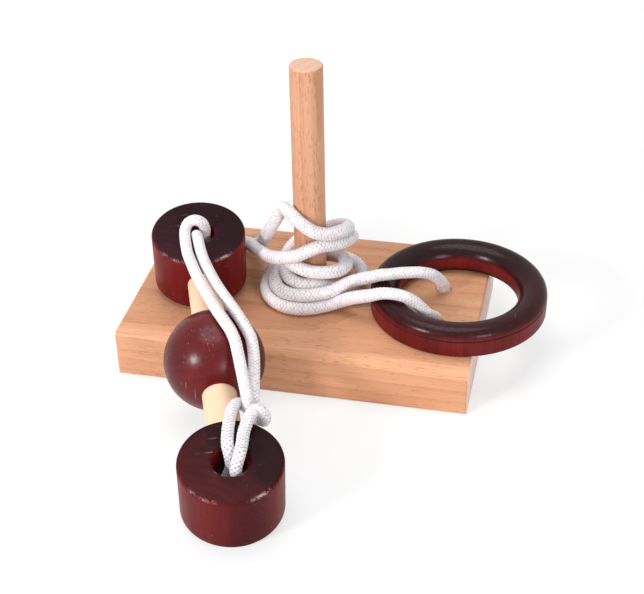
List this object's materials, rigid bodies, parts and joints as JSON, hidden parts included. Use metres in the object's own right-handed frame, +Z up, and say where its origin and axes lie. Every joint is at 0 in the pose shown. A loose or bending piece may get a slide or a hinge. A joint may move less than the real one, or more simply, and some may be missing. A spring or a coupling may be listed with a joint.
{
  "type": "wooden rope puzzle",
  "caption": "Wooden rope puzzle: a flat board with an upright post, a loose ring, and bored drums with a ball on a rod, all joined by a knotted white cord.",
  "frame": {"origin": "on the board's underside, below the post's axis, on the surface it stands on", "axes": "+Z up, +X along the board towards the end with the ring, +Y across the board, away from the ball"},
  "size_m": [0.155, 0.17, 0.1136],
  "materials": {
    "beech_board": "satin clear lacquer",
    "beech_post": "satin clear lacquer",
    "stained_wood": "mahogany stain under gloss lacquer",
    "pale_rod": "plain sanded wood",
    "white_cord": "braided cotton"
  },
  "bodies": {
    "base": {"base_board": "beech_board", "post": "beech_post", "cord_near": "white_cord", "cord_far": "white_cord", "knot_near": "white_cord", "knot_far": "white_cord"},
    "ring": {"ring": "stained_wood"},
    "dumbbell": {"rear_drum": "stained_wood", "front_drum": "stained_wood", "ball": "stained_wood", "connecting_rod": "pale_rod", "cord_bridge": "white_cord"}
  },
  "joints": [
    {"name": "ring_spin", "type": "hinge", "parent": "base", "child": "ring", "pos_m": [0.0564, 0.0005, 0.0206], "axis": [0, 0, 1], "continuous": true},
    {"name": "dumbbell_swivel", "type": "hinge", "parent": "base", "child": "dumbbell", "pos_m": [-0.04189, -0.00546, 0.03391], "axis": [0.063, -0.165, 0.9843], "range_deg": [-40, 0]}
  ]
}
